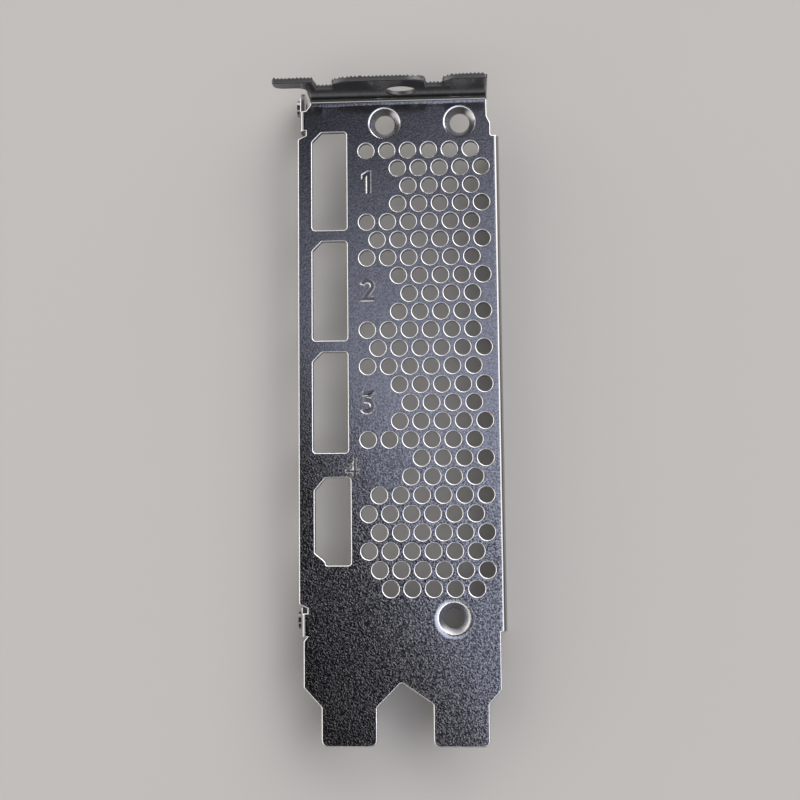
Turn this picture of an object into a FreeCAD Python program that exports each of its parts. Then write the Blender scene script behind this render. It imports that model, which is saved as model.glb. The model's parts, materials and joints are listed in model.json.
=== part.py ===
import FreeCAD, Part

import math
import os

# Graphics card bracket for a card two slots wide, folded from one steel sheet.
# It lies with its outside face up: x runs across the slots, y from the tongues to the
# screw flange. While it is built, x = 0 is midway between the slots, y = 0 is at the
# tongue ends and z = 0 is the outside face. Sizes are in millimetres.

# Sheet and folds
SHEET = 0.86
WALL_FOLD_RADIUS = 0.25        # inside radius where the lugs and the side flange turn down
FLANGE_FOLD_RADIUS = 0.9       # inside radius where the screw flange turns up
WALL_DEPTH = 8.0               # outside face to the free edges of the lugs and the side flange

# Plate, measured from the middle between the slots and from the tongue ends
SLOT_PITCH = 20.32
SEAT_HEIGHT = 120.02           # tongue ends to the underside of the screw flange
LEFT_REACH = 19.30             # to the left edge
LUG_REACH = 19.00              # to the outside of the lugs
RIGHT_REACH = 18.65            # to the outside of the side flange
FOOT_LEFT = 18.50              # half width of the plate above the left tongue
HEAD_LEFT = 16.95              # half widths of the screw flange at its fold
HEAD_RIGHT = 16.55
CORNER_RADIUS = 0.5            # small corners of the outline and the windows
RELIEF = 0.12                  # how far a relief notch goes past the start of its fold
RELIEF_WIDTH = 0.85            # gap between the end of a fold and the plate beside it
RELIEF_SLOPE = 0.7             # lean of the notch's far side

# Tongues that drop into the chassis, and the tapers above them
TONGUE_WIDTH = 10.19
TONGUE_LENGTH = 7.0
RIGHT_TONGUE_LENGTH = 7.6
TONGUE_RADIUS = 1.3
LEFT_TAPER = 3.55              # rise of each taper
RIGHT_TAPER = 2.6
CROTCH_RISE = 4.46             # rise of the notch between the tongues
CROTCH_SHIFT = -0.64           # its apex stands left of the middle

# Shoulder at the top right, where the plate narrows to the screw flange
SHOULDER_WIDTH = 17.20
SHOULDER_DROP = 5.2            # below the seat
SHOULDER_RUN = 1.3

# Screw flange
FLANGE_HEIGHT = 11.43
HOOK_REACH = 22.7              # middle to the tip of the locating hook
HOOK_LOW = 7.8                 # height of the hook's lower edge above the outside face
HOOK_ROOT_RADIUS = 1.6
HOOK_TIP_RADIUS = 1.8
HOOK_TOP_RADIUS = 0.5
SLOT_SHIFT = -3.31             # screw notch from its slot's middle
SLOT_WIDTH = 2.8               # at the floor of the notch
SLOT_MOUTH = 3.5               # at the free edge
SLOT_DEPTH = 4.8
LEAD_RADIUS = 5.3              # rounded shoulders beside the notches
LEAD_RUN = 3.6
FLANGE_HOLE = 5.6
FLANGE_HOLE_X = 0.5
FLANGE_HOLE_HEIGHT = 4.45

# Side flange on the right edge
SIDE_START = 20.4
SIDE_END_DROP = 7.5            # below the seat
SIDE_CORNER = 1.5

# Lugs on the left edge, each with a tapped collar for a card screw
LOWER_LUG_LOW = 19.6
LOWER_LUG_FOLD_WIDTH = 4.35
LOWER_LUG_OVERHANG = 1.05
UPPER_LUG_FOLD_DROP = 1.95     # top of the upper lug's fold below the seat
UPPER_LUG_FOLD_WIDTH = 3.95
UPPER_LUG_OVERHANG = 4.1       # each lug runs on past its fold
OVERHANG_DEPTH = 1.4           # depth of an overhang's upper edge
LUG_CORNER = 1.2
LUG_END_RADIUS = 2.3
LUG_HOLE = 2.05                # tapping size for an M2.5 thread
LUG_HOLE_DEPTH = 5.4           # below the outside face
COLLAR = 3.2
COLLAR_HEIGHT = 0.85
LOWER_HOLE_RISE = 2.7          # from the lower lug's lower end
UPPER_HOLE_SET = 2.3           # from the upper lug's upper end

# Connector windows: three alike with one cut corner, and a shorter one with a stepped foot
WINDOW_INSET = 2.80            # plate's left edge to the windows
WINDOW_WIDTH = 6.40
WINDOW_WEB = 2.30              # between two tall windows
TITLE_WEB = 4.70               # between the last tall window and the short one
WINDOW_DROP = 6.42             # seat to the first window's upper end
WINDOW_CUT = 1.75              # cut corner, equal legs
LAST_WINDOW_SHIFT = 0.25       # the short window stands a little to the right
LAST_WINDOW_WIDTH = 6.55
LAST_WINDOW_HEIGHT = 15.9
LAST_WINDOW_LOW = 32.6
LAST_WINDOW_CUT_X = 2.0
LAST_WINDOW_CUT_Y = 2.3
LAST_WINDOW_STEP_X = 2.0
LAST_WINDOW_STEP_Y = 2.2
LAST_WINDOW_LEDGE = 0.6        # short level ledge in the stepped foot

# Vent perforation: round holes in staggered rows, with plain patches beside the windows
VENT_OPEN = 0.712              # hole's share of the distance between two middles in a row
VENT_SIDES = 12                # each hole is cut with this many sides
VENT_COLUMNS = 6
VENT_INSET = 3.78              # windows' right side to the first column
VENT_MARGIN = 3.35             # last column to the outside of the side flange
VENT_DROP = 10.095             # seat to the first row
VENT_LOW = 28.22               # height of the last row
WINDOW_SKIP_COUNTS = (0, 1, 2, 1, 0)     # holes left out on the left of each row beside a tall window
TITLE_SKIP_COUNTS = (2, 2)               # above the short window
HEEL_SKIP_COUNTS = (0, 0, 0, 0, 0, 1)    # beside and below the short window

# Pressed seats for flat screw heads
SEAT_HOLE = 3.7
SEAT_RIM = 5.9                 # where the cone meets the outside face
SEAT_LIP = 0.5                 # height of the hole's wall
TOP_SEATS_X = (-2.78, 11.37)
TOP_SEATS_DROP = 4.85          # below the flange's underside
LOW_SEAT_X = 9.09
LOW_SEAT_Y = 22.85

V = FreeCAD.Vector
OUTER_FOLD = WALL_FOLD_RADIUS + SHEET
LEFT_FOLD = -(LUG_REACH - OUTER_FOLD)         # where the left and right folds start
RIGHT_FOLD = RIGHT_REACH - OUTER_FOLD
FLANGE_FOLD = SEAT_HEIGHT - FLANGE_FOLD_RADIUS
SIDE_END = SEAT_HEIGHT - SIDE_END_DROP
LOWER_LUG_HIGH = LOWER_LUG_LOW + LOWER_LUG_FOLD_WIDTH
LOWER_LUG_END = LOWER_LUG_HIGH + LOWER_LUG_OVERHANG
UPPER_LUG_TOP = SEAT_HEIGHT - UPPER_LUG_FOLD_DROP
UPPER_LUG_LOW = UPPER_LUG_TOP - UPPER_LUG_FOLD_WIDTH
UPPER_LUG_END = UPPER_LUG_TOP + UPPER_LUG_OVERHANG
WINDOW_LEFT = WINDOW_INSET - LEFT_REACH
LAST_WINDOW_TOP = LAST_WINDOW_LOW + LAST_WINDOW_HEIGHT
WINDOW_HEIGHT = (SEAT_HEIGHT - WINDOW_DROP - 2 * WINDOW_WEB - TITLE_WEB - LAST_WINDOW_TOP) / 3
SKIP_COUNTS = 2 * (WINDOW_SKIP_COUNTS + (0,)) + WINDOW_SKIP_COUNTS + TITLE_SKIP_COUNTS + HEEL_SKIP_COUNTS
VENT_LEFT = WINDOW_LEFT + WINDOW_WIDTH + VENT_INSET
VENT_PITCH = (RIGHT_REACH - VENT_MARGIN - VENT_LEFT) / (VENT_COLUMNS - 0.5)
VENT_RISE = (SEAT_HEIGHT - VENT_DROP - VENT_LOW) / (len(SKIP_COUNTS) - 1)


def flat(u, v):
    """Place on the outside face."""
    return V(u, v, 0)


def across(u, v):
    """Place on the underside of the screw flange."""
    return V(u, SEAT_HEIGHT, v)


def on_left(u, v):
    """Place on the outside of the lugs."""
    return V(-LUG_REACH, u, v)


def on_right(u, v):
    """Place on the outside of the side flange."""
    return V(RIGHT_REACH, u, v)


def rounded(corners, place):
    """Closed wire through corners given as (u, v, radius), each radius limited by its two sides."""
    points = [place(u, v) for u, v, radius in corners]
    arcs = {}
    ends = []
    for i, (u, v, radius) in enumerate(corners):
        corner = points[i]
        back = points[i - 1] - corner
        ahead = points[(i + 1) % len(points)] - corner
        half = back.getAngle(ahead) / 2
        if radius == 0 or math.pi / 2 - half < 1e-6:
            ends.append((corner, corner))
            continue
        reach = min(radius / math.tan(half), 0.49 * back.Length, 0.49 * ahead.Length)
        fit = reach * math.tan(half)
        start = corner + V(back).normalize() * reach
        end = corner + V(ahead).normalize() * reach
        inward = (V(back).normalize() + V(ahead).normalize()).normalize()
        middle = corner + inward * (fit / math.sin(half) - fit)
        arcs[i] = Part.Arc(start, middle, end).toShape()
        ends.append((start, end))
    path = []
    for i in range(len(corners)):
        if i in arcs:
            path.append(arcs[i])
        start = ends[i][1]
        end = ends[(i + 1) % len(ends)][0]
        if start.distanceToPoint(end) > 1e-6:
            path.append(Part.makeLine(start, end))
    return Part.Wire(path)


def plate_outline():
    """Flat outline of the plate, up to where each fold starts."""
    tongue = TONGUE_WIDTH / 2
    left_slot = -SLOT_PITCH / 2
    right_slot = SLOT_PITCH / 2
    notch = LEFT_FOLD + RELIEF
    shoulder = SEAT_HEIGHT - SHOULDER_DROP
    small = CORNER_RADIUS
    lower_notch = LOWER_LUG_HIGH + RELIEF_WIDTH
    upper_notch = UPPER_LUG_LOW - RELIEF_WIDTH
    corners = [
        (left_slot - tongue, 0, TONGUE_RADIUS),
        (left_slot + tongue, 0, TONGUE_RADIUS),
        (left_slot + tongue, TONGUE_LENGTH, small),
        (CROTCH_SHIFT, TONGUE_LENGTH + CROTCH_RISE, small),
        (right_slot - tongue, RIGHT_TONGUE_LENGTH, small),
        (right_slot - tongue, 0, TONGUE_RADIUS),
        (right_slot + tongue, 0, TONGUE_RADIUS),
        (right_slot + tongue, RIGHT_TONGUE_LENGTH, small),
        (RIGHT_FOLD, RIGHT_TONGUE_LENGTH + RIGHT_TAPER, small),
        (RIGHT_FOLD, SIDE_START, 0),
        (RIGHT_FOLD, SIDE_END, 0),
        (SHOULDER_WIDTH, SIDE_END, small),
        (SHOULDER_WIDTH, shoulder, SHOULDER_RUN),
        (HEAD_RIGHT, shoulder + SHOULDER_RUN, SHOULDER_RUN),
        (HEAD_RIGHT, FLANGE_FOLD, 0),
        (-HEAD_LEFT, FLANGE_FOLD, 0),
        (notch, UPPER_LUG_TOP, 0),
        (LEFT_FOLD, UPPER_LUG_TOP, 0),
        (LEFT_FOLD, UPPER_LUG_LOW, 0),
        (notch, UPPER_LUG_LOW, 0),
        (notch, upper_notch, 0),
        (-LEFT_REACH, upper_notch - RELIEF_SLOPE, small),
        (-LEFT_REACH, lower_notch + RELIEF_SLOPE, small),
        (notch, lower_notch, 0),
        (notch, LOWER_LUG_HIGH, 0),
        (LEFT_FOLD, LOWER_LUG_HIGH, 0),
        (LEFT_FOLD, LOWER_LUG_LOW, 0),
        (-FOOT_LEFT, LOWER_LUG_LOW - RELIEF_SLOPE, small),
        (-FOOT_LEFT, TONGUE_LENGTH + LEFT_TAPER, small),
        (left_slot - tongue, TONGUE_LENGTH, small),
    ]
    return rounded(corners, flat)


def tall_window_tops():
    """Upper ends of the three tall windows."""
    return [SEAT_HEIGHT - WINDOW_DROP - i * (WINDOW_HEIGHT + WINDOW_WEB) for i in range(3)]


def tall_window(top):
    """Window with its upper left corner cut off."""
    left = WINDOW_LEFT
    right = left + WINDOW_WIDTH
    low = top - WINDOW_HEIGHT
    corners = [
        (left, low, CORNER_RADIUS),
        (right, low, CORNER_RADIUS),
        (right, top, CORNER_RADIUS),
        (left + WINDOW_CUT, top, CORNER_RADIUS),
        (left, top - WINDOW_CUT, CORNER_RADIUS),
    ]
    return rounded(corners, flat)


def short_window():
    """Lowest window: a cut corner above and a stepped foot below."""
    left = WINDOW_LEFT + LAST_WINDOW_SHIFT
    right = left + LAST_WINDOW_WIDTH
    low = LAST_WINDOW_LOW
    top = LAST_WINDOW_TOP
    ledge = low + LAST_WINDOW_STEP_Y / 2
    corners = [
        (left + LAST_WINDOW_STEP_X, low, CORNER_RADIUS),
        (right, low, CORNER_RADIUS),
        (right, top, CORNER_RADIUS),
        (left + LAST_WINDOW_CUT_X, top, CORNER_RADIUS),
        (left, top - LAST_WINDOW_CUT_Y, CORNER_RADIUS),
        (left, low + LAST_WINDOW_STEP_Y, CORNER_RADIUS),
        (left + LAST_WINDOW_STEP_X - LAST_WINDOW_LEDGE, ledge, CORNER_RADIUS),
        (left + LAST_WINDOW_STEP_X, ledge - LAST_WINDOW_LEDGE, CORNER_RADIUS),
    ]
    return rounded(corners, flat)


def vent_centres():
    """Middles of the vent holes: staggered rows, less the holes left out on the left."""
    first = SEAT_HEIGHT - VENT_DROP
    centres = []
    for row, skipped in enumerate(SKIP_COUNTS):
        start = VENT_LEFT + (row % 2) * VENT_PITCH / 2
        for column in range(skipped, VENT_COLUMNS):
            centres.append((start + column * VENT_PITCH, first - row * VENT_RISE))
    return centres


def vent(x, y):
    """One vent hole, with as much area as the round hole it stands for."""
    turn = 2 * math.pi / VENT_SIDES
    radius = VENT_OPEN * VENT_PITCH / 2 * math.sqrt(turn / math.sin(turn))
    angles = [turn * (i + 0.5) for i in range(VENT_SIDES)]
    points = [V(x + radius * math.cos(a), y + radius * math.sin(a), 0) for a in angles]
    return Part.makePolygon(points + points[:1])


def plate():
    """Plate with its windows and vents, from the outside face down."""
    wires = [plate_outline(), short_window()]
    wires += [tall_window(top) for top in tall_window_tops()]
    wires += [vent(x, y) for x, y in vent_centres()]
    face = Part.makeFace(wires, "Part::FaceMakerBullseye")
    return face.extrude(V(0, 0, -SHEET))


def quarter_fold(start, turned, bulge_in, bulge_out, along):
    """Fold of a quarter turn: start and turned are the sheet's two end lines, as (inner, outer)."""
    inner = Part.Arc(start[0], bulge_in, turned[0]).toShape()
    outer = Part.Arc(turned[1], bulge_out, start[1]).toShape()
    sides = [inner, Part.makeLine(turned[0], turned[1]), outer, Part.makeLine(start[1], start[0])]
    return Part.Face(Part.Wire(sides)).extrude(along)


def wall_fold(edge, side, low, high):
    """Fold that turns the sheet down at x = edge, towards side (1 right, -1 left)."""
    axis = V(edge, low, -OUTER_FOLD)
    lean = V(side, 0, 1).normalize()
    start = (axis + V(0, 0, WALL_FOLD_RADIUS), axis + V(0, 0, OUTER_FOLD))
    turned = (axis + V(side * WALL_FOLD_RADIUS, 0, 0), axis + V(side * OUTER_FOLD, 0, 0))
    return quarter_fold(start, turned, axis + lean * WALL_FOLD_RADIUS, axis + lean * OUTER_FOLD,
                        V(0, high - low, 0))


def screw_flange():
    """Flange that turns up at the head of the plate, with its hook, screw notches and hole."""
    outer = FLANGE_FOLD_RADIUS + SHEET
    axis = V(-HEAD_LEFT, FLANGE_FOLD, FLANGE_FOLD_RADIUS)
    lean = V(0, 1, -1).normalize()
    start = (axis - V(0, 0, FLANGE_FOLD_RADIUS), axis - V(0, 0, outer))
    turned = (axis + V(0, FLANGE_FOLD_RADIUS, 0), axis + V(0, outer, 0))
    fold = quarter_fold(start, turned, axis + lean * FLANGE_FOLD_RADIUS, axis + lean * outer,
                        V(HEAD_LEFT + HEAD_RIGHT, 0, 0))

    top = FLANGE_HEIGHT
    drop = LEAD_RADIUS - math.sqrt(LEAD_RADIUS ** 2 - LEAD_RUN ** 2)
    floor = top - SLOT_DEPTH
    half_floor = SLOT_WIDTH / 2
    half_mouth = SLOT_MOUTH / 2
    left = SLOT_SHIFT - SLOT_PITCH / 2
    right = SLOT_SHIFT + SLOT_PITCH / 2
    small = CORNER_RADIUS
    corners = [
        (HEAD_RIGHT, FLANGE_FOLD_RADIUS, 0),
        (HEAD_RIGHT, top, small),
        (right + half_mouth, top, 0),
        (right + half_floor, floor, 0),
        (right - half_floor, floor, 0),
        (right - half_mouth, top, 0),
        (left + half_mouth, top, 0),
        (left + half_floor, floor, 0),
        (left - half_floor, floor, 0),
        (left - half_mouth, top, 0),
        (-HOOK_REACH, top, HOOK_TOP_RADIUS),
        (-HOOK_REACH, HOOK_LOW, HOOK_TIP_RADIUS),
        (-HEAD_LEFT, HOOK_LOW, HOOK_ROOT_RADIUS),
        (-HEAD_LEFT, FLANGE_FOLD_RADIUS, 0),
    ]
    flange = Part.Face(rounded(corners, across)).extrude(V(0, SHEET, 0))
    for edge, side in ((left + half_mouth, 1), (right - half_mouth, -1), (right + half_mouth, 1)):
        flange = flange.cut(lead_in(edge, side, top, drop))
    hole = Part.makeCylinder(FLANGE_HOLE / 2, 3 * SHEET,
                             V(FLANGE_HOLE_X, SEAT_HEIGHT - SHEET, FLANGE_HOLE_HEIGHT), V(0, 1, 0))
    return fold.fuse(flange).cut(hole)


def lead_in(edge, side, top, drop):
    """What is cut away to round the free edge down to a notch at x = edge; side points from it."""
    rim = edge + side * LEAD_RUN
    past = edge - side * LEAD_RUN / 4
    angle = math.asin(LEAD_RUN / LEAD_RADIUS) / 2
    middle = across(rim - side * LEAD_RADIUS * math.sin(angle), top - LEAD_RADIUS * (1 - math.cos(angle)))
    low = across(edge, top - drop)
    high = across(rim, top)
    sides = [
        Part.Arc(low, middle, high).toShape(),
        Part.makeLine(high, across(rim, top + drop)),
        Part.makeLine(across(rim, top + drop), across(past, top + drop)),
        Part.makeLine(across(past, top + drop), across(past, top - drop)),
        Part.makeLine(across(past, top - drop), low),
    ]
    cutter = Part.Face(Part.Wire(sides)).extrude(V(0, 3 * SHEET, 0))
    cutter.translate(V(0, -SHEET, 0))
    return cutter


def side_flange():
    """Stiffening flange that turns down along the right edge."""
    fold = wall_fold(RIGHT_FOLD, 1, SIDE_START, SIDE_END)
    corners = [
        (SIDE_START, -OUTER_FOLD, 0),
        (SIDE_END, -OUTER_FOLD, 0),
        (SIDE_END, -WALL_DEPTH, SIDE_CORNER),
        (SIDE_START, -WALL_DEPTH, SIDE_CORNER),
    ]
    return fold.fuse(Part.Face(rounded(corners, on_right)).extrude(V(-SHEET, 0, 0)))


def lug(low, high, end, end_radius, hole_y):
    """Lug that turns down from low to high and runs on to end, with a collar round its tapped hole."""
    corners = [
        (low, -OUTER_FOLD, 0),
        (low, -WALL_DEPTH, LUG_CORNER),
        (end, -WALL_DEPTH, end_radius),
        (end, -OVERHANG_DEPTH, end_radius),
        (high, -OVERHANG_DEPTH, 0),
        (high, -OUTER_FOLD, 0),
    ]
    fold = wall_fold(LEFT_FOLD, -1, low, high)
    wall = Part.Face(rounded(corners, on_left)).extrude(V(SHEET, 0, 0))
    centre = V(-LUG_REACH - COLLAR_HEIGHT, hole_y, -LUG_HOLE_DEPTH)
    collar = Part.makeCylinder(COLLAR / 2, COLLAR_HEIGHT + SHEET / 2, centre, V(1, 0, 0))
    hole = Part.makeCylinder(LUG_HOLE / 2, COLLAR_HEIGHT + 2 * SHEET, centre, V(1, 0, 0))
    return fold.fuse([wall, collar]).cut(hole)


def lower_lug():
    """Lug near the tongues."""
    return lug(LOWER_LUG_LOW, LOWER_LUG_HIGH, LOWER_LUG_END, LUG_CORNER, LOWER_LUG_LOW + LOWER_HOLE_RISE)


def upper_lug():
    """Lug near the screw flange, most of it past its fold."""
    return lug(UPPER_LUG_LOW, UPPER_LUG_TOP, UPPER_LUG_END, LUG_END_RADIUS, UPPER_LUG_END - UPPER_HOLE_SET)


def seat_centres():
    """Middles of the three pressed screw seats."""
    top = SEAT_HEIGHT - TOP_SEATS_DROP
    return [(x, top) for x in TOP_SEATS_X] + [(LOW_SEAT_X, LOW_SEAT_Y)]


def pressed_seats(sheet):
    """Press the screw seats: a cone of the sheet's own thickness that stands out of the back."""
    rim = SEAT_RIM / 2
    bore = SEAT_HOLE / 2
    depth = rim - bore
    bottom = depth + SEAT_LIP
    back_rim = rim + (math.sqrt(2) - 1) * SHEET
    back_low = back_rim - (bottom - SHEET)
    bosses = []
    mouths = []
    for x, y in seat_centres():
        bosses.append(Part.makeCone(back_rim, back_low, bottom - SHEET, V(x, y, -SHEET), V(0, 0, -1)))
        mouths.append(Part.makeCone(rim, bore, depth, V(x, y, 0), V(0, 0, -1)))
        mouths.append(Part.makeCylinder(bore, 2 * bottom, V(x, y, 0), V(0, 0, -1)))
    return sheet.fuse(bosses).cut(mouths)


def bracket():
    """The whole folded sheet, moved to the middle of its own base."""
    folded = plate().fuse([screw_flange(), side_flange(), lower_lug(), upper_lug()])
    shape = pressed_seats(folded.removeSplitter()).removeSplitter()
    solid = shape.Solids[0]
    box = solid.BoundBox
    solid.translate(V(-box.Center.x, -box.Center.y, -box.ZMin))
    return solid


os.makedirs("parts", exist_ok=True)
bracket().exportStep("parts/bracket.step")
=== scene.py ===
import json
import math

import bmesh
import bpy
from mathutils import Euler, Matrix, Vector, noise
from mathutils.geometry import delaunay_2d_cdt


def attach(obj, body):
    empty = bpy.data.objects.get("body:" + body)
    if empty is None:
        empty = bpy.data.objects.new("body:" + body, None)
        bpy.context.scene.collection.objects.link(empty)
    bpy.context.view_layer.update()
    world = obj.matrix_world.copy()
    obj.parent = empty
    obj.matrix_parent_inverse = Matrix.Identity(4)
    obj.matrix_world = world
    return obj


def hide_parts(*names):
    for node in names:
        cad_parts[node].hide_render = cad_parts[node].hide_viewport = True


# Graphics card bracket: one folded sheet of black-nickel-plated steel.
# The CAD solid gives the form. The visual copy has round vents, rolled edges on its outside, threads
# in its lugs, a torn edge on its screw flange and stamped numerals beside its windows.
# Lengths are in metres.

MM = 0.001

# Camera, fitted to the photograph: frame side and focal length in pixels
IMAGE_SIDE = 800
FOCAL_LENGTH = 1411.27
PRINCIPAL_POINT = (374.33, 347.77)
CAMERA_PLACE = (14.28 * MM, -16.48 * MM, 268.23 * MM)
CAMERA_TURN = (-0.107049, -0.066071, 0.015660)
SENSOR_SIDE = 36.0
CLIP_START = 10 * MM

# Mesh
WELD = 0.001 * MM
FLAT_ANGLE = math.radians(0.5)       # faces closer than this are one flat face
SMOOTH_ANGLE = math.radians(30)      # the outside runs on round the folds below this angle
SEAT_ANGLE = math.radians(60)        # a seat's cone meets the outside below this angle
CONE_ANGLE = math.radians(20)        # a seat's cone runs on below this angle
HARD_ANGLE = math.radians(40)        # edges above this angle stay sharp
FACING = 0.99                        # a face whose normal has this share of a direction looks that way
SQUARE = 0.99999                     # a face whose normal lies this close to an axis is flat
BENT = 0.95                          # a face whose normal lies further off is in the thick of a fold
MITRE_LIMIT = 0.2                    # keeps the offset at a sharp corner short
INSIDE_BORDERS = 1                   # kind of triangulation that ends at its borders
FACE_MARKS = ("cut", "seat", "torn", "bend", "stamp")

# Vents, and the rolled edges of the outside
CAD_VENT_SIDES = 12
VENT_SIDES = 36
VENT_ROLL = 0.30 * MM                # widths of the rolled edges
EDGE_ROLL = 0.28 * MM
SEAT_ROLL = 0.26 * MM
SEAT_DISH = 0.80 * MM                # the lower seat draws the plate in over this width
DISH_GAP = 0.10 * MM                 # what it leaves free beside the vents' rolled edges
SEAT_SHEEN = 0.4                     # share of the painted highlight on a seat's rolled edge beside that of the others
ROLL_STEPS = 5

# Free edge of the screw flange, torn where the shears broke through
FREE_EDGE = 4.0 * MM                 # height above the plate where it starts
EDGE_LEAN = 0.1                      # its faces lean no more than this to the front or back
HOLE_CLEAR = 0.2 * MM                # closer to the rim of the flange's hole, a face belongs to the hole
TEAR_PITCH = 0.36 * MM               # length between two corners
TEAR_START = 0.55                    # share of the thickness that is cut clean
TEAR_DROP = 0.15 * MM                # depth of the torn part at most
TEAR_SHIFT = 0.10 * MM               # how far it goes in between the burrs, and how far its start sways
TEAR_BURR = (0.196 * MM, 0.28 * MM)  # how far the burrs stand out
TEAR_ROW = 0.14 * MM                 # width of the row of faces behind the burrs

# Gentle sweep of the plate into the fold of the screw flange: its width and its slope at the fold
SWEEP_WIDTH = 0.55 * MM
SWEEP_SLOPE = math.radians(9)

# M2.5 thread in the holes of the lugs
THREAD_PITCH = 0.45 * MM
THREAD_DEPTH = 0.22 * MM
THREAD_STEPS = 14                    # rings of corners in one turn
THREAD_FIT = 0.01 * MM               # the holes' corners lie this close to their radius
SEAM = 1e-5                          # turn in radians that keeps corners where angles start over together

# Stamped numerals: middles and heights on the outside face, stroke as a share of the height
NUMERAL_PLACES = (
    (-4.3 * MM, 42.9 * MM),
    (-4.3 * MM, 22.4 * MM),
    (-4.3 * MM, 1.3 * MM),
    (-7.3 * MM, -10.7 * MM),
)
NUMERAL_HEIGHTS = (4.4 * MM, 4.4 * MM, 4.4 * MM, 3.4 * MM)
NUMERAL_STROKE = 0.24
NUMERAL_SLOPE = 0.22 * MM
NUMERAL_DEPTH = 0.12 * MM

# Grain of the plating, which changes from the tongues (LOW) towards the flange (HIGH)
GRAIN_LOW = 0.034 * MM               # its height
GRAIN_HIGH = 0.010 * MM
SPECKLE_LOW = 0.62                   # how far the tone follows it
SPECKLE_HIGH = 0.20
GRAIN_RUN = (-30 * MM, 5 * MM)       # places along the plate where the change starts and ends
WALL_RUN = (6.2 * MM, 6.9 * MM)      # below these heights, lugs and side flange have the fine grain
GRAIN_NOISE = (3.2, 2.5)             # cells in a millimetre, and detail
CLOUD_NOISE = (0.16, 3.0)
NOISE_RANGE = (0.3, 0.7)             # most of a noise lies between these values

# Colours of the plating, with light and shade painted in: warm and dark at one corner as painted shade,
# lighter and bluer beyond it as a painted reflection of the light overhead
WARM = (0.57, 0.53, 0.47, 1)
COOL = (0.54, 0.54, 0.56, 1)
DARK = (0.06, 0.06, 0.06, 1)
TONE_LOW = 0.27                      # share of the light colour at the corner of painted shade and where the painted light is
TONE_HIGH = 0.52
PAINTED_LIGHT_ACROSS = (0.89, 0.45, 0.0)      # direction from the painted shade to the painted light
PAINTED_LIGHT_RUN = (-21 * MM, -7 * MM)
FLANGE_RUN = (8.3 * MM, 9.2 * MM)    # heights between which the screw flange, rougher and painted darker, starts
FLANGE_SHADE = 0.72                  # how far it goes to its painted darker colour, a painted reflection of the dark plate
FLANGE_REFLECTION_COLOUR = (0.10, 0.10, 0.12, 1)
# the numerals' sunk floors are painted darker: painted shade
STAMP_SHADE_COLOUR = (0.20, 0.20, 0.21, 1)
# rolled edges painted light: a painted highlight
RIM_HIGHLIGHT_COLOUR = (0.82, 0.82, 0.84, 1)
SEAT_COLOUR = (0.40, 0.40, 0.42, 1)
# faces in the thick of a fold painted lighter: a painted highlight along the folds
BEND_HIGHLIGHT_COLOUR = (0.40, 0.40, 0.41, 1)
# walls of the cuts, threads and the feet of the rolled edges painted darker: painted shade
CUT_SHADE_COLOUR = (0.14, 0.135, 0.135, 1)
TORN_COLOUR = (0.10, 0.10, 0.10, 1)
PLATE_ROUGHNESS = (0.09, 0.14)
RIM_ROUGHNESS = 0.2
FLANGE_ROUGHNESS = 0.24
SEAT_ROUGHNESS = 0.25
CUT_ROUGHNESS = 0.45

# Floor
FLOOR_SIDE = 6.0
FLOOR_COLOUR = (0.54, 0.53, 0.515, 1)
FLOOR_ROUGHNESS = 0.8

# Studio. Pairs are the shares of a direction between which a light starts or ends.
RING_TILT = (-0.22, 0.52, 0.72)      # the ring of light starts along this direction
RING_LOW = (0.05, 0.45)
RING_SHADE = 0.05                    # what is left of it below its start
RING_LEAN = (0.0, 0.15, 1.0)         # and ends along this one
RING_HIGH = (0.70, 0.92)
RING_SIDE = (-0.7, 0.7)              # from left to right its light changes
RING_LIGHT = (1.0, 3.2)
RING_TINT = (1.0, 0.97, 0.93)
BOX_SIDE = (-0.9, -0.5)              # low soft box on the left
BOX_HEIGHT = (0.15, 0.50)
BOX_LIGHT = 1.6
PATCH_LOW = (0.62, 0.86)             # patch of light overhead
PATCH_EDGES = (
    ((0.89, 0.45, 0.0), (-0.10, -0.02)),
    ((0.45, -0.89, 0.0), (-0.335, -0.04)),
)
PATCH_TINT = (0.72, 0.755, 0.95)
AMBIENT = (0.02, 0.02, 0.02)

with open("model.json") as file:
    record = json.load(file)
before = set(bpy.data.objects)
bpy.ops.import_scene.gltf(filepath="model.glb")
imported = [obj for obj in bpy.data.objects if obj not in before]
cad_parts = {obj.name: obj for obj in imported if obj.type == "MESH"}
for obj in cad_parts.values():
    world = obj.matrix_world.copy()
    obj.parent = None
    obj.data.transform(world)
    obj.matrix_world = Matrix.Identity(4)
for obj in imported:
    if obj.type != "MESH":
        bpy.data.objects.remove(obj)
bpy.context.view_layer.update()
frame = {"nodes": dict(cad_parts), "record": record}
node = frame["nodes"]["bracket"]


def mount(name):
    """A mount of the record."""
    return next(m for m in frame["record"]["mounts"] if m["name"] == name)


def welded(mesh):
    """The CAD mesh with its split corners joined and its flat faces in few pieces."""
    bm = bmesh.new()
    bm.from_mesh(mesh)
    bmesh.ops.remove_doubles(bm, verts=bm.verts, dist=WELD)
    bmesh.ops.dissolve_limit(bm, angle_limit=FLAT_ANGLE, verts=bm.verts, edges=bm.edges)
    return bm


def level(item, height):
    """Whether all corners of an edge or face lie at this height."""
    return all(abs(v.co.z - height) < WELD for v in item.verts)


def squareness(face):
    """How close a face's normal lies to an axis, 1 at most."""
    return max(abs(c) for c in face.normal)


def border_of(faces):
    """Edges with one side in these faces."""
    within = set(faces)
    return [e for f in faces for e in f.edges if sum(o in within for o in e.link_faces) == 1]


def spread(start, limit, among=None):
    """Faces that run on from start over edges flatter than the limit."""
    found = {start}
    todo = [start]
    while todo:
        for edge in todo.pop().edges:
            if len(edge.link_faces) != 2 or edge.calc_face_angle() > limit:
                continue
            fresh = [f for f in edge.link_faces if f not in found and (among is None or f in among)]
            found.update(fresh)
            todo.extend(fresh)
    return found


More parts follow.
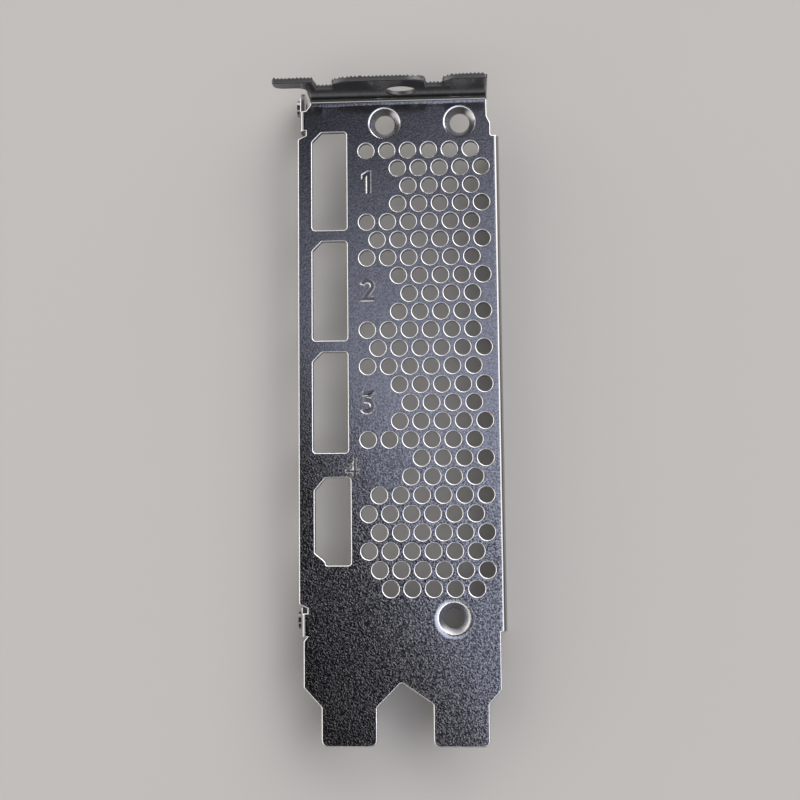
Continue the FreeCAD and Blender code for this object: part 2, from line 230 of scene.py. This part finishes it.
def plate_face(bm, side):
    """Largest face of the plate on its outside (1) or its back (-1)."""
    return max((f for f in bm.faces if f.normal.z * side > FACING), key=lambda f: f.calc_area())


def outside(bm):
    """The outside faces from the plate round the folds, and the edges where they end."""
    front = spread(plate_face(bm, 1), SMOOTH_ANGLE)
    return front, [e for e in bm.edges if sum(f in front for f in e.link_faces) == 1 and e.is_convex]


def loops_of(edges):
    """Closed loops of edges, each as a list of corners."""
    left = dict.fromkeys(edges)
    loops = []
    while left:
        edge = next(iter(left))
        del left[edge]
        loop = list(edge.verts)
        while True:
            ahead = [e for e in loop[-1].link_edges if e in left]
            if not ahead:
                break
            del left[ahead[0]]
            loop.append(ahead[0].other_vert(loop[-1]))
        if loop[-1] == loop[0]:
            loops.append(loop[:-1])
    return loops


def fill(bm, edges, normal):
    """Flat faces between closed loops of edges."""
    corners = list(dict.fromkeys(v for e in edges for v in e.verts))
    place = {v: i for i, v in enumerate(corners)}
    turn = normal.to_track_quat("Z", "Y").to_matrix().transposed()
    points = [(turn @ v.co).to_2d() / MM for v in corners]
    borders = [tuple(place[v] for v in e.verts) for e in edges]
    _, _, triangles, origins, _, _ = delaunay_2d_cdt(points, borders, [], INSIDE_BORDERS, WELD / MM)
    triangles = [[origins[i][0] for i in triangle] for triangle in triangles]
    walls = {frozenset(pair) for pair in borders}
    beside = {}
    for triangle in triangles:
        for i in range(3):
            beside.setdefault(frozenset((triangle[i - 1], triangle[i])), []).append(tuple(triangle))
    solid = {pair[0]: True for pair in beside.values() if len(pair) == 1}
    todo = list(solid)
    while todo:
        triangle = todo.pop()
        for i in range(3):
            side = frozenset((triangle[i - 1], triangle[i]))
            for other in beside[side]:
                if other not in solid:
                    solid[other] = solid[triangle] != (side in walls)
                    todo.append(other)
    kept = [triangle for triangle in triangles if solid[tuple(triangle)]]
    return [bm.faces.new([corners[i] for i in triangle]) for triangle in kept]


def open_edges(bm, height):
    """Edges at this height with a face on one side only."""
    return [e for e in bm.edges if len(e.link_faces) == 1 and level(e, height)]


def circle(bm, centre, radius, height):
    """Corners of a vent's circle at this height."""
    turns = [2 * math.pi * i / VENT_SIDES for i in range(VENT_SIDES)]
    return [bm.verts.new((centre.x + radius * math.cos(a), centre.y + radius * math.sin(a), height))
            for a in turns]


def round_vents(bm):
    """Make each vent a circle as large as its cut polygon."""
    top = plate_face(bm, 1).verts[0].co.z
    back = plate_face(bm, -1).verts[0].co.z
    vents = [loop for loop in loops_of(outside(bm)[1]) if len(loop) == CAD_VENT_SIDES]
    turn = 2 * math.pi / CAD_VENT_SIDES
    places = []
    for loop in vents:
        centre = sum((v.co for v in loop), Vector()) / len(loop)
        places.append((centre, (loop[0].co - centre).length * math.sqrt(math.sin(turn) / turn)))
    plate = [f for f in bm.faces if level(f, top) or level(f, back)]
    walls = {f for loop in vents for v in loop for f in v.link_faces if abs(f.normal.z) < 1 - FACING}
    bmesh.ops.delete(bm, geom=plate + list(walls), context="FACES")
    for centre, radius in places:
        upper = circle(bm, centre, radius, top)
        lower = circle(bm, centre, radius, back)
        for i in range(VENT_SIDES):
            bm.faces.new((upper[i], lower[i], lower[i - 1], upper[i - 1]))
    bm.normal_update()
    for height, side in ((top, 1), (back, -1)):
        fill(bm, open_edges(bm, height), Vector((0, 0, side)))
    bm.normal_update()


def tap(bm, axis, radius):
    """Cut a thread into a hole that runs along x, its axis given in y and z. Returns its faces."""

    def turn(v):
        return (math.atan2(v.co.z - axis.y, v.co.y - axis.x) + SEAM) % (2 * math.pi)

    def on_wall(v):
        return abs((v.co.yz - axis).length - radius) < THREAD_FIT

    wall = [f for f in bm.faces if all(on_wall(v) for v in f.verts)]
    corners = sorted(dict.fromkeys(v for f in wall for v in f.verts), key=turn)
    low = min(v.co.x for v in corners)
    high = max(v.co.x for v in corners)
    first, last = ([v for v in corners if abs(v.co.x - x) < WELD] for x in (low, high))
    bmesh.ops.delete(bm, geom=wall, context="FACES")
    rows = round((high - low) / THREAD_PITCH * THREAD_STEPS)
    rings = [first]
    for j in range(1, rows):
        x = low + (high - low) * j / rows
        fade = min(1, 2 * (x - low) / THREAD_PITCH, 2 * (high - x) / THREAD_PITCH)
        ring = []
        for i, v in enumerate(first):
            out = (v.co.yz - axis).normalized()
            phase = 2 * math.pi * (x / THREAD_PITCH - i / len(first))
            place = axis + out * (radius + THREAD_DEPTH * fade * (1 - math.cos(phase)) / 2)
            ring.append(bm.verts.new((x, place.x, place.y)))
        rings.append(ring)
    rings.append(last)
    threads = []
    for lower, upper in zip(rings, rings[1:]):
        for i in range(len(first)):
            threads.append(bm.faces.new((lower[i], lower[i - 1], upper[i - 1], upper[i])))
    return threads


def tap_holes(bm):
    """Cut a thread into the hole of each lug. Returns its faces."""
    screws = mount("card_screws")
    radius = screws["dims"]["hole_r_mm"] * MM
    reach = screws["dims"]["spacing_x_mm"] * MM / 2
    threads = []
    for offset in (-reach, reach):
        threads += tap(bm, Vector(screws["pos_m"]).yz + Vector((offset, 0)), radius)
    bm.normal_update()
    return threads


def into(face, edge):
    """Direction in a face, square to one of its edges and away from it."""
    corner = next(l for l in face.loops if l.edge is edge)
    return face.normal.cross(corner.link_loop_next.vert.co - corner.vert.co).normalized()


def mitre(directions):
    """Offset that stands one unit off every edge at a corner."""
    total = sum(directions[1:], directions[0]) / len(directions)
    return total / max(total.length_squared, MITRE_LIMIT)


def roll(bm, front, rims, widths):
    """Round the rims over with an arc from the outside to the wall.

    widths gives the arc's reach on the outside and on the wall at a corner. Returns the arc's faces,
    those at its foot, and the walls.
    """
    at = {}
    edges = []
    for edge in rims:
        face, wall = sorted(edge.link_faces, key=lambda f: f not in front)
        corner = next(l for l in face.loops if l.edge is edge)
        edges.append((corner.vert, corner.link_loop_next.vert))
        for v in edge.verts:
            at.setdefault(v, []).append((into(face, edge), into(wall, edge), edge.calc_face_angle()))
    walls = {f for e in rims for f in e.link_faces if f not in front}
    columns = {}
    for v, found in at.items():
        outer, inner = widths(v)
        start = mitre([f[0] for f in found]) * outer
        end = mitre([f[1] for f in found]) * inner
        bulge = math.cos(sum(f[2] for f in found) / len(found) / 2)
        column = []
        for i in range(ROLL_STEPS):
            s = i / ROLL_STEPS
            a, b, c = (1 - s) ** 2, 2 * s * (1 - s) * bulge, s ** 2
            column.append(bm.verts.new(v.co + (start * a + end * c) / (a + b + c)))
        columns[v] = (column + [v], end)
    for face in [f for f in bm.faces if f in front]:
        if any(v in columns for v in face.verts):
            front.discard(face)
            front.add(bm.faces.new([columns[v][0][0] if v in columns else v for v in face.verts]))
            bm.faces.remove(face)
    rolled = set()
    feet = set()
    for first, second in edges:
        a, b = columns[first][0], columns[second][0]
        for i in range(ROLL_STEPS):
            rolled.add(bm.faces.new((b[i], a[i], a[i + 1], b[i + 1])))
        feet.add(bm.faces.get((b[-2], a[-2], a[-1], b[-1])))
    for v, (column, end) in columns.items():
        v.co += end
    loose = [e for e in bm.edges if not e.link_faces]
    bmesh.ops.delete(bm, geom=loose, context="EDGES")
    bm.normal_update()
    return rolled, feet, walls


def arc(centre, radius, start, end, steps):
    """Points along an arc; angles are in degrees."""
    turns = [math.radians(start + (end - start) * i / steps) for i in range(steps + 1)]
    return [(centre[0] + radius * math.cos(a), centre[1] + radius * math.sin(a)) for a in turns]


def stroke(path, width):
    """Closed outline of a line of this width along a path."""
    path = [Vector(p) for p in path]
    sides = ([], [])
    for i, point in enumerate(path):
        ends = zip(path[max(i - 1, 0):i + 1], path[max(i, 1):i + 2])
        runs = [(b - a).normalized() for a, b in ends]
        out = mitre([Vector((-r.y, r.x)) for r in runs]) * width / 2
        sides[0].append(point + out)
        sides[1].append(point - out)
    return sides[0] + sides[1][::-1]


def numerals():
    """Plain numerals one unit high: outlines, middles and heights on the plate."""
    one = [[(0.24, 0), (0.48, 0), (0.48, 1), (0.30, 1), (0.04, 0.84), (0.04, 0.59), (0.24, 0.71)]]
    two = [stroke(arc((0.33, 0.67), 0.23, 170, -40, 14) + [(0.20, 0.10), (0.62, 0.10)], NUMERAL_STROKE)]
    three = [stroke([(0.06, 0.90), (0.46, 0.90)] + arc((0.28, 0.34), 0.24, 90, -150, 16), NUMERAL_STROKE)]
    four = [
        [(0.40, 0), (0.64, 0), (0.64, 0.20), (0.78, 0.20), (0.78, 0.42), (0.64, 0.42), (0.64, 1), (0.40, 1),
         (0, 0.42), (0, 0.20), (0.40, 0.20)],
        [(0.40, 0.42), (0.40, 0.70), (0.22, 0.42)],
    ]
    return zip((one, two, three, four), NUMERAL_PLACES, NUMERAL_HEIGHTS)


def outline_numeral(bm, shape, middle, height, top):
    """Outlines of a numeral on the plate, as edges."""
    low = [min(p[i] for loop in shape for p in loop) for i in (0, 1)]
    high = [max(p[i] for loop in shape for p in loop) for i in (0, 1)]
    scale = height / (high[1] - low[1])
    edges = []
    for loop in shape:
        corners = []
        for p in loop:
            x, y = (middle[i] + scale * (p[i] - (low[i] + high[i]) / 2) for i in (0, 1))
            corners.append(bm.verts.new((x, y, top)))
        edges += [bm.edges.new((corners[i - 1], corners[i])) for i in range(len(corners))]
    return edges


def sweep(bm, front, border):
    """Corners of a strip of the plate along the screw flange's fold, which is taken out of the border."""
    folds = [e for e in border if all(f in front for f in e.link_faces)]
    line = max(folds, key=lambda e: abs(e.verts[0].co.x - e.verts[1].co.x))
    left, right = sorted(line.verts, key=lambda v: v.co.x)
    inner = [bm.verts.new(v.co + Vector((x, -SWEEP_WIDTH, 0)))
             for v, x in ((left, SWEEP_WIDTH / 2), (right, -SWEEP_WIDTH / 2))]
    border.remove(line)
    border += [bm.edges.new(pair) for pair in ((left, inner[0]), inner, (inner[1], right))]
    return inner[0], inner[1], right, left


def refill(bm, front, top):
    """Divide each flat region of the outside anew, because its rims have moved, and stamp the numerals.

    Returns the slopes and the floors of the numerals, and the corners where the plate meets the fold.
    """
    outlines = [outline_numeral(bm, *placed, top) for placed in numerals()]
    left = dict.fromkeys(f for f in bm.faces if f in front)
    while left:
        start = next(iter(left))
        normal = start.normal.copy()
        found = spread(start, FLAT_ANGLE, left)
        region = [f for f in left if f in found]
        for face in region:
            del left[face]
        if len(region) < 2:
            continue
        border = border_of(region)
        swept = level(start, top) and sweep(bm, front, border)
        front.difference_update(region)
        if swept:
            border += [e for outline in outlines for e in outline]
            fold = swept[2:]
        bmesh.ops.delete(bm, geom=region, context="FACES")
        front.update(fill(bm, border, normal))
        if swept:
            front.add(bm.faces.new(swept))
    stamped = []
    for outline in outlines:
        stamped += fill(bm, outline, Vector((0, 0, 1)))
    bm.normal_update()
    front.update(stamped)
    slopes = bmesh.ops.inset_region(bm, faces=stamped, thickness=NUMERAL_SLOPE, depth=-NUMERAL_DEPTH,
                                    use_even_offset=True)
    return set(slopes["faces"]), stamped, set(fold)


def free_edge(bm, top):
    """Walls along the flange's free edge, without those of its round hole."""
    hole = mount("flange_hole")
    centre = Vector(hole["pos_m"]).xz
    clear = hole["dims"]["r_mm"] * MM + HOLE_CLEAR
    return [f for f in bm.faces if len(f.verts) == 4 and abs(f.normal.y) < EDGE_LEAN
            and min(v.co.z for v in f.verts) > top + FREE_EDGE
            and (f.calc_center_median().xz - centre).length > clear]


def divide_free_edge(bm, top):
    """Divide the flange's free edge at the pitch of its burrs."""
    walls = free_edge(bm, top)
    pairs = [[e for e in f.edges if abs(e.verts[0].co.y - e.verts[1].co.y) < WELD] for f in walls]
    for edges in pairs:
        cuts = int(edges[0].calc_length() / TEAR_PITCH)
        if cuts:
            bmesh.ops.subdivide_edges(bm, edges=edges, cuts=cuts, use_grid_fill=True)
    bm.normal_update()


def row_behind(bm, far, burrs):
    """Divide the flange's far face close to its torn border, so that the burrs stay there."""
    region = [f for f in bm.faces if f.normal.y > SQUARE and all(abs(v.co.y - far) < WELD for v in f.verts)]
    border = border_of(region)
    inner = {v: bm.verts.new(v.co + inward * TEAR_ROW) for v, inward in burrs.items()}
    bmesh.ops.delete(bm, geom=region, context="FACES")
    rest = []
    for edge in border:
        corner = edge.link_loops[0]
        first, second = corner.link_loop_next.vert, corner.vert
        inside = [inner.get(v, v) for v in (first, second)]
        if inside == [first, second]:
            rest.append(edge)
        else:
            bm.faces.new(dict.fromkeys((first, second, inside[1], inside[0])))
            rest.append(bm.edges.get(inside))
    fill(bm, rest, Vector((0, 1, 0)))


def tear_free_edge(bm, top, walls):
    """Tear the far part of the flange's free edge, as shears leave it. Returns the torn faces."""
    strip = free_edge(bm, top)
    far = max(v.co.y for f in strip for v in f.verts)
    within = set(strip)
    rungs = [e for f in strip for e in f.edges if sum(v.co.y > far - WELD for v in e.verts) == 1]
    moves = []
    burrs = {}
    middles = set()
    for edge in dict.fromkeys(rungs):
        back = max(edge.verts, key=lambda v: v.co.y)
        chance = noise.cell_vector(back.co / TEAR_PITCH)
        held = any(f in walls and f not in within for f in back.link_faces)
        inward = -mitre([f.normal for f in back.link_faces if f in within])
        middle = bmesh.utils.edge_split(edge, edge.other_vert(back), TEAR_START)[1]
        middles.add(middle)
        if held:
            continue
        burrs[back] = inward
        burr = -TEAR_SHIFT
        if math.floor((back.co.x + back.co.z) / TEAR_PITCH) % 2:
            burr = TEAR_BURR[0] + (TEAR_BURR[1] - TEAR_BURR[0]) * chance.z
        moves.append((back, inward * TEAR_DROP * abs(chance.x) + Vector((0, burr, 0))))
        moves.append((middle, Vector((0, TEAR_SHIFT * chance.y, 0))))
    torn = []
    for face in strip:
        ends = [v for v in face.verts if v in middles]
        halves = [face, bmesh.utils.face_split(face, *ends)[0]]
        torn.append(max(halves, key=lambda f: f.calc_center_median().y))
        walls.update(halves)
    row_behind(bm, far, burrs)
    for v, move in moves:
        v.co += move
    bm.normal_update()
    return torn


def shading(bm, flat, fold):
    """Normal of each face corner.

    Flat faces lead the faces that run smoothly on from them, except where the plate meets the fold.
    """
    slope = Vector((0, -math.sin(SWEEP_SLOPE), math.cos(SWEEP_SLOPE)))
    normals = []
    for face in bm.faces:
        for corner in face.loops:
            if corner.vert in fold:
                normals.append(slope)
                continue
            fan = [face]
            for found in fan:
                for edge in found.edges:
                    if edge.smooth and corner.vert in edge.verts:
                        fan.extend(f for f in edge.link_faces if f not in fan)
            leading = [f for f in fan if f in flat] or fan
            normals.append(sum((f.normal * f.calc_area() for f in leading), Vector()).normalized())
    return normals


def dressed_sheet(source):
    """Visual copy of the folded sheet, with marks on its corners and faces for the material."""
    bm = welded(source.data)
    rim = bm.verts.layers.float.new("rim")
    cut, seat, torn, bend, stamp = [bm.faces.layers.float.new(name) for name in FACE_MARKS]

    def mark(faces, layer):
        for face in faces:
            face[layer] = 1.0

    round_vents(bm)
    # the threads get the painted shade of the cuts
    mark(tap_holes(bm), cut)
    top = plate_face(bm, 1).verts[0].co.z
    divide_free_edge(bm, top)
    front, rims = outside(bm)
    seats = [e for e in rims if e.calc_face_angle() < SEAT_ANGLE]
    seat_corners = {v for e in seats for v in e.verts}
    vent_corners = {v for loop in loops_of(rims) if len(loop) == VENT_SIDES for v in loop}

    def widths(v):
        if v in vent_corners:
            return VENT_ROLL, VENT_ROLL
        if v not in seat_corners:
            return EDGE_ROLL, EDGE_ROLL
        if v.co.y > 0:
            return SEAT_ROLL, SEAT_ROLL
        clear = min((v.co - other.co).length for other in vent_corners) - VENT_ROLL - DISH_GAP
        return min(SEAT_DISH, clear), SEAT_ROLL

    cones = set()
    for face in [f for e in seats for f in e.link_faces if f not in front]:
        if face not in cones:
            cones |= spread(face, CONE_ANGLE)
    rolled, feet, walls = roll(bm, front, rims, widths)
    seat_roll = {v for f in rolled if any(c in seat_corners for c in f.verts) for v in f.verts}
    slopes, stamped, fold = refill(bm, front, top)
    # the numerals' floors get the painted shade
    mark(stamped, stamp)
    mark(tear_free_edge(bm, top, walls), torn)
    mark(cones, seat)
    # walls of the cuts and the feet of the rolled edges get the painted shade
    mark(walls - cones, cut)
    mark([f for f in feet if not any(v in seat_roll for v in f.verts)], cut)
    bm.normal_update()
    # faces in the thick of a fold get the painted highlight
    mark([f for f in bm.faces if f in front and f not in slopes and squareness(f) < BENT], bend)
    # the rolled edges get a painted highlight, the seats' a weaker one
    for v in {v for f in rolled for v in f.verts}:
        if v.co.z < top + WELD and not any(f in front for f in v.link_faces):
            v[rim] = SEAT_SHEEN if v in seat_roll or any(f in cones for f in v.link_faces) else 1.0

    for face in bm.faces:
        face.smooth = True
    for edge in bm.edges:
        if len(edge.link_faces) == 2:
            border = sum(f in slopes for f in edge.link_faces) == 1
            edge.smooth = edge.calc_face_angle() < HARD_ANGLE and not border
    normals = shading(bm, {f for f in bm.faces if f not in rolled and squareness(f) > SQUARE}, fold)
    mesh = bpy.data.meshes.new("bracket_sheet")
    bm.to_mesh(mesh)
    bm.free()
    mesh.normals_split_custom_set(normals)
    piece = bpy.data.objects.new("bracket_sheet", mesh)
    bpy.context.scene.collection.objects.link(piece)
    return piece


def plated_steel():
    """Black nickel plating with a fine grain, with light and shade painted in: a painted highlight on the
    rolled edges and folds, painted shade on the sheared edges, which are also rougher, on the screw flange
    and across the plate.
    """
    material = bpy.data.materials.new("plated_steel")
    material.use_nodes = True
    tree = material.node_tree
    shader = tree.nodes["Principled BSDF"]
    shader.inputs["Metallic"].default_value = 1.0

    def new(kind, **settings):
        made = tree.nodes.new(kind)
        for name, value in settings.items():
            setattr(made, name, value)
        return made

    def mottle(scale, detail):
        made = new("ShaderNodeTexNoise")
        made.inputs["Scale"].default_value = scale / MM
        made.inputs["Detail"].default_value = detail
        tree.links.new(place, made.inputs["Vector"])
        return made.outputs["Fac"]

    def spread_to(value, low, high, lowest, highest):
        made = new("ShaderNodeMapRange")
        made.inputs["From Min"].default_value = lowest
        made.inputs["From Max"].default_value = highest
        made.inputs["To Min"].default_value = low
        made.inputs["To Max"].default_value = high
        tree.links.new(value, made.inputs["Value"])
        return made.outputs["Result"]

    def mixed(kind, factor, first, second):
        made = new("ShaderNodeMix", data_type=kind)
        sockets = [s for s in made.inputs if s.enabled and s.name in ("A", "B")]
        for socket, value in zip(sockets, (first, second)):
            if isinstance(value, bpy.types.NodeSocket):
                tree.links.new(value, socket)
            else:
                socket.default_value = value
        tree.links.new(factor, next(s for s in made.inputs if s.enabled and s.name == "Factor"))
        return next(s for s in made.outputs if s.enabled)

    def marked(name):
        return new("ShaderNodeAttribute", attribute_name=name).outputs["Fac"]

    place = new("ShaderNodeTexCoord").outputs["Object"]
    rim = marked("rim")
    cut, seat, torn, bend, stamp = [marked(name) for name in FACE_MARKS]
    grain = mottle(*GRAIN_NOISE)
    cloud = mottle(*CLOUD_NOISE)
    along = new("ShaderNodeSeparateXYZ")
    tree.links.new(place, along.inputs["Vector"])
    # painted shade at one corner of the plate and painted light beyond it
    across = new("ShaderNodeVectorMath", operation="DOT_PRODUCT")
    tree.links.new(place, across.inputs[0])
    across.inputs[1].default_value = PAINTED_LIGHT_ACROSS
    painted_light = spread_to(across.outputs["Value"], 0, 1, *PAINTED_LIGHT_RUN)
    plate = spread_to(along.outputs["Z"], 0, 1, *WALL_RUN)
    upright = spread_to(along.outputs["Z"], 0, 1, *FLANGE_RUN)
    # the screw flange painted darker: a painted reflection of the dark plate
    shaded = spread_to(along.outputs["Z"], 0, FLANGE_SHADE, *FLANGE_RUN)

    strength = spread_to(along.outputs["Y"], SPECKLE_LOW, SPECKLE_HIGH, *GRAIN_RUN)
    speckle = new("ShaderNodeMath", operation="MULTIPLY_ADD", use_clamp=True)
    tree.links.new(spread_to(grain, -1, 1, *NOISE_RANGE), speckle.inputs[0])
    tree.links.new(mixed("FLOAT", plate, SPECKLE_HIGH, strength), speckle.inputs[1])
    tree.links.new(spread_to(painted_light, TONE_LOW, TONE_HIGH, 0, 1), speckle.inputs[2])
    colour = mixed("RGBA", speckle.outputs["Value"], DARK, mixed("RGBA", painted_light, WARM, COOL))
    # colours of the marks; those of the numerals, flange, rolled edges, folds and cuts are painted light and
    # shade
    for mask, own in ((stamp, STAMP_SHADE_COLOUR), (shaded, FLANGE_REFLECTION_COLOUR), (rim, RIM_HIGHLIGHT_COLOUR), (seat, SEAT_COLOUR),
                      (bend, BEND_HIGHLIGHT_COLOUR), (cut, CUT_SHADE_COLOUR), (torn, TORN_COLOUR)):
        colour = mixed("RGBA", mask, colour, own)
    tree.links.new(colour, shader.inputs["Base Color"])

    roughness = spread_to(cloud, *PLATE_ROUGHNESS, *NOISE_RANGE)
    for mask, own in ((rim, RIM_ROUGHNESS), (upright, FLANGE_ROUGHNESS), (seat, SEAT_ROUGHNESS),
                      (cut, CUT_ROUGHNESS)):
        roughness = mixed("FLOAT", mask, roughness, own)
    tree.links.new(roughness, shader.inputs["Roughness"])

    height = spread_to(along.outputs["Y"], GRAIN_LOW, GRAIN_HIGH, *GRAIN_RUN)
    height = mixed("FLOAT", plate, GRAIN_HIGH, height)
    for mask in (seat, bend):
        height = mixed("FLOAT", mask, height, 0.0)
    relief = new("ShaderNodeMath", operation="MULTIPLY")
    tree.links.new(grain, relief.inputs[0])
    tree.links.new(height, relief.inputs[1])
    bump = new("ShaderNodeBump")
    bump.inputs["Distance"].default_value = 1.0
    tree.links.new(relief.outputs["Value"], bump.inputs["Height"])
    tree.links.new(bump.outputs["Normal"], shader.inputs["Normal"])
    return material


def floor():
    """Plain pale floor under the bracket."""
    bpy.ops.mesh.primitive_plane_add(size=FLOOR_SIDE, location=(0, 0, 0))
    plane = bpy.context.object
    plane.name = "floor"
    material = bpy.data.materials.new("pale_floor")
    material.use_nodes = True
    shader = material.node_tree.nodes["Principled BSDF"]
    shader.inputs["Base Color"].default_value = FLOOR_COLOUR
    shader.inputs["Roughness"].default_value = FLOOR_ROUGHNESS
    plane.data.materials.append(material)


def camera():
    """Camera at the photograph's place and angle."""
    data = bpy.data.cameras.new("camera")
    data.sensor_width = SENSOR_SIDE
    data.lens = FOCAL_LENGTH / IMAGE_SIDE * SENSOR_SIDE
    data.shift_x = 0.5 - PRINCIPAL_POINT[0] / IMAGE_SIDE
    data.shift_y = PRINCIPAL_POINT[1] / IMAGE_SIDE - 0.5
    data.clip_start = CLIP_START
    eye = bpy.data.objects.new("camera", data)
    turn = Euler(CAMERA_TURN, "XYZ").to_matrix().transposed()
    eye.matrix_world = Matrix.LocRotScale(Vector(CAMERA_PLACE), turn, None)
    bpy.context.scene.collection.objects.link(eye)
    bpy.context.scene.camera = eye


def surroundings():
    """Studio with a ring of light, a low soft box and a dark ceiling with one soft patch of light."""
    world = bpy.data.worlds.new("studio")
    bpy.context.scene.world = world
    world.use_nodes = True
    tree = world.node_tree
    background = tree.nodes["Background"]

    def new(kind, *links, **settings):
        made = tree.nodes.new(kind)
        for name, value in settings.items():
            setattr(made, name, value)
        for socket, value in enumerate(links):
            if isinstance(value, bpy.types.NodeSocket):
                tree.links.new(value, made.inputs[socket])
            elif value is not None:
                made.inputs[socket].default_value = value
        return made

    def step(value, low, high, start, end):
        made = new("ShaderNodeMapRange", value, low, high, start, end, interpolation_type="SMOOTHSTEP")
        return made.outputs[0]

    def total(operation, first, second):
        return new("ShaderNodeMath", first, second, operation=operation).outputs[0]

    def share(of):
        return new("ShaderNodeVectorMath", direction, of, operation="DOT_PRODUCT").outputs["Value"]

    def tinted(tint, light):
        return new("ShaderNodeVectorMath", tint, None, None, light, operation="SCALE").outputs[0]

    direction = new("ShaderNodeTexCoord").outputs["Generated"]
    parts = new("ShaderNodeSeparateXYZ", direction).outputs
    side, height = parts["X"], parts["Z"]
    ring = step(share(RING_TILT), *RING_LOW, RING_SHADE, 1)
    ring = total("MULTIPLY", ring, step(share(RING_LEAN), *RING_HIGH, 1, 0))
    ring = total("MULTIPLY", ring, step(side, *RING_SIDE, *RING_LIGHT))
    box = total("MULTIPLY", step(side, *BOX_SIDE, BOX_LIGHT, 0), step(height, *BOX_HEIGHT, 1, 0))
    patch = step(height, *PATCH_LOW, 0, 1)
    for across, run in PATCH_EDGES:
        patch = total("MULTIPLY", patch, step(share(across), *run, 0, 1))
    light = tinted(RING_TINT, total("ADD", ring, box))
    light = new("ShaderNodeVectorMath", light, tinted(PATCH_TINT, patch), operation="ADD").outputs[0]
    light = new("ShaderNodeVectorMath", light, AMBIENT, operation="ADD").outputs[0]
    tree.links.new(light, background.inputs["Color"])


sheet = dressed_sheet(node)
sheet.data.materials.append(plated_steel())
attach(sheet, "root")
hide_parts("bracket")
floor()
surroundings()
bpy.context.scene.view_settings.view_transform = "Standard"
camera()
